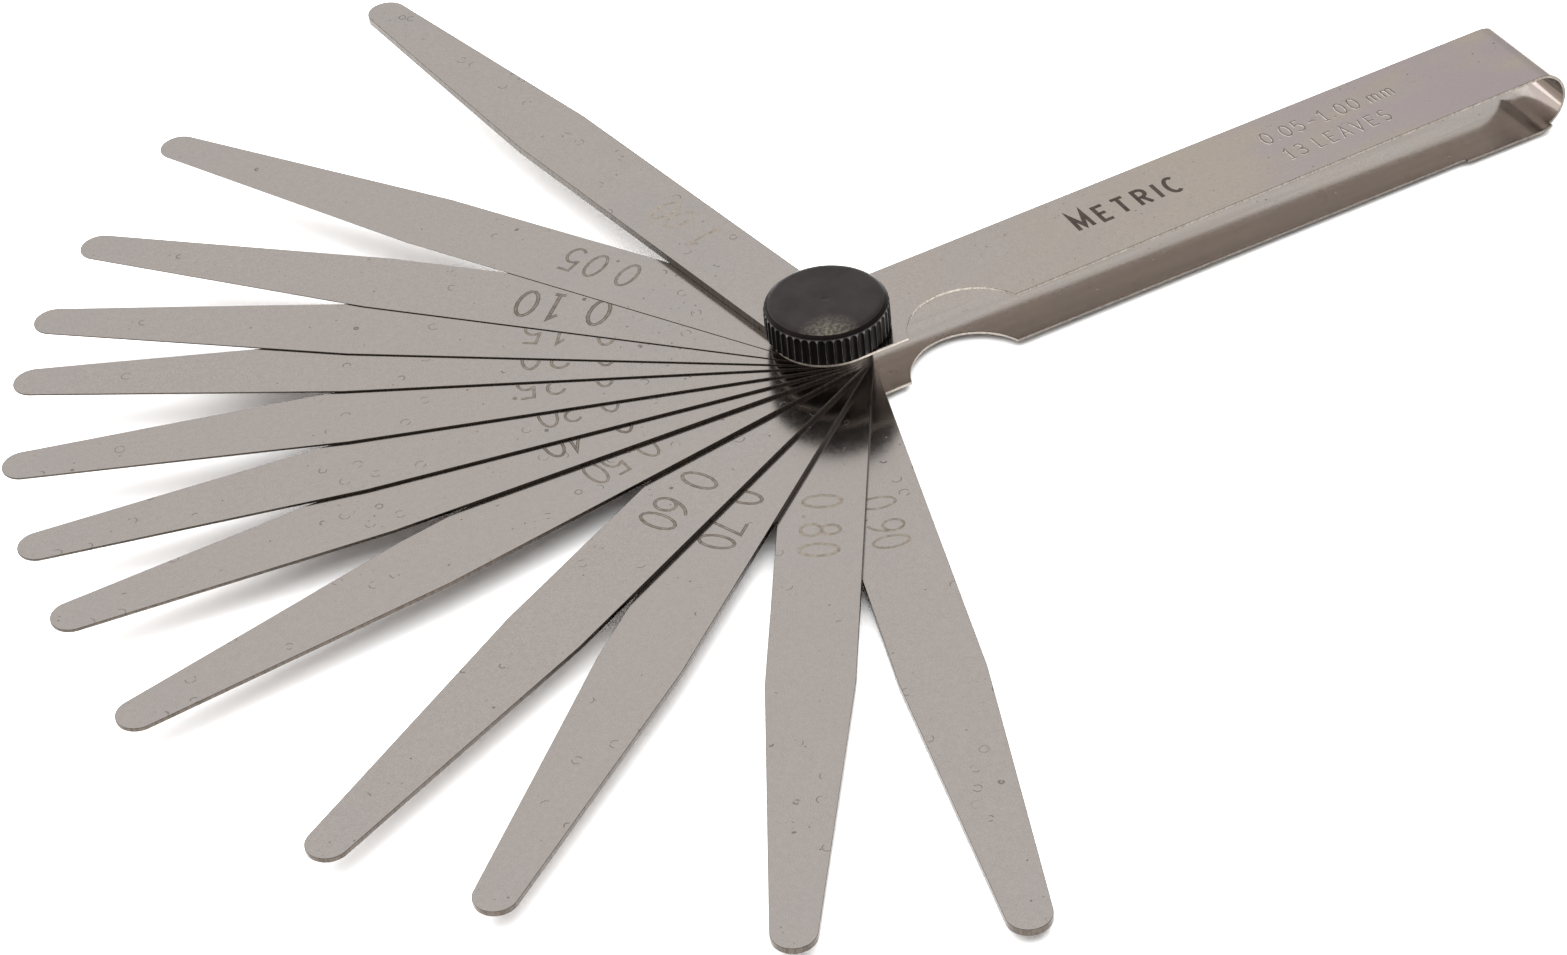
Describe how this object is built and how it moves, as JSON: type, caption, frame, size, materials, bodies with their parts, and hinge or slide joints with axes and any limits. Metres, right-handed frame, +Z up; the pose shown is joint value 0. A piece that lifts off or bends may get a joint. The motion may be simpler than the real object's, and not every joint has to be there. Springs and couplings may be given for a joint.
{
  "type": "feeler gauge",
  "caption": "Feeler gauge: tapered steel thickness blades fanned on a clamp screw with a fluted knob, between the arms of a folded steel strip they swing back into.",
  "frame": {"origin": "on the clamp screw's axis at the flat underside of the base bush", "axes": "+Z up the screw towards the knob, +X along the holder from the pivot to the bend, thumb notch on the -Y side"},
  "size_m": [0.2022, 0.1952, 0.0126],
  "materials": {
    "blade_steel": "satin hardened steel with faint pits and etched sizes",
    "strip_steel": "rolled spring steel strip, fine lengthwise grain",
    "plated_steel": "nickel-plated turned steel",
    "screw_steel": "machined steel",
    "knob_plastic": "black moulded plastic with a fine texture"
  },
  "bodies": {
    "holder": {"holder_strip": "strip_steel", "base_bush": "plated_steel"},
    "blade_0_90": {"blade_0_90": "blade_steel"},
    "blade_0_80": {"blade_0_80": "blade_steel"},
    "blade_0_70": {"blade_0_70": "blade_steel"},
    "blade_0_60": {"blade_0_60": "blade_steel"},
    "blade_0_50": {"blade_0_50": "blade_steel"},
    "blade_0_40": {"blade_0_40": "blade_steel"},
    "blade_0_30": {"blade_0_30": "blade_steel"},
    "blade_0_25": {"blade_0_25": "blade_steel"},
    "blade_0_20": {"blade_0_20": "blade_steel"},
    "blade_0_15": {"blade_0_15": "blade_steel"},
    "blade_0_10": {"blade_0_10": "blade_steel"},
    "blade_0_05": {"blade_0_05": "blade_steel"},
    "blade_1_00": {"blade_1_00": "blade_steel"},
    "screw": {"clamp_screw": "screw_steel"},
    "knob": {"clamp_knob": "knob_plastic"}
  },
  "joints": [
    {"name": "blade_0_90_swing", "type": "hinge", "parent": "holder", "child": "blade_0_90", "pos_m": [0, 0, 0], "axis": [0, 0, 1], "range_deg": [-253.1, 106.9]},
    {"name": "blade_0_80_swing", "type": "hinge", "parent": "holder", "child": "blade_0_80", "pos_m": [0, 0, 0], "axis": [0, 0, 1], "range_deg": [-238.7, 121.3]},
    {"name": "blade_0_70_swing", "type": "hinge", "parent": "holder", "child": "blade_0_70", "pos_m": [0, 0, 0], "axis": [0, 0, 1], "range_deg": [-219.6, 140.4]},
    {"name": "blade_0_60_swing", "type": "hinge", "parent": "holder", "child": "blade_0_60", "pos_m": [0, 0, 0], "axis": [0, 0, 1], "range_deg": [-207.5, 152.5]},
    {"name": "blade_0_50_swing", "type": "hinge", "parent": "holder", "child": "blade_0_50", "pos_m": [0, 0, 0], "axis": [0, 0, 1], "range_deg": [-188.6, 171.4]},
    {"name": "blade_0_40_swing", "type": "hinge", "parent": "holder", "child": "blade_0_40", "pos_m": [0, 0, 0], "axis": [0, 0, 1], "range_deg": [-177, 183]},
    {"name": "blade_0_30_swing", "type": "hinge", "parent": "holder", "child": "blade_0_30", "pos_m": [0, 0, 0], "axis": [0, 0, 1], "range_deg": [-168.8, 191.2]},
    {"name": "blade_0_25_swing", "type": "hinge", "parent": "holder", "child": "blade_0_25", "pos_m": [0, 0, 0], "axis": [0, 0, 1], "range_deg": [-159.6, 200.4]},
    {"name": "blade_0_20_swing", "type": "hinge", "parent": "holder", "child": "blade_0_20", "pos_m": [0, 0, 0], "axis": [0, 0, 1], "range_deg": [-150.1, 209.9]},
    {"name": "blade_0_15_swing", "type": "hinge", "parent": "holder", "child": "blade_0_15", "pos_m": [0, 0, 0], "axis": [0, 0, 1], "range_deg": [-143, 217]},
    {"name": "blade_0_10_swing", "type": "hinge", "parent": "holder", "child": "blade_0_10", "pos_m": [0, 0, 0], "axis": [0, 0, 1], "range_deg": [-133.8, 226.2]},
    {"name": "blade_0_05_swing", "type": "hinge", "parent": "holder", "child": "blade_0_05", "pos_m": [0, 0, 0], "axis": [0, 0, 1], "range_deg": [-120.5, 239.5]},
    {"name": "blade_1_00_swing", "type": "hinge", "parent": "holder", "child": "blade_1_00", "pos_m": [0, 0, 0], "axis": [0, 0, 1], "range_deg": [-98.5, 261.5]},
    {"name": "screw_rise", "type": "slide", "parent": "holder", "child": "screw", "axis": [0, 0, 1], "range_m": [0, 0.0014]},
    {"name": "knob_turn", "type": "hinge", "parent": "screw", "child": "knob", "pos_m": [0, 0, 0], "axis": [0, 0, 1], "range_deg": [0, 720]}
  ],
  "couplings": [
    {"joint": "knob_turn", "follows": "screw_rise", "rad_per_m": 8976}
  ]
}
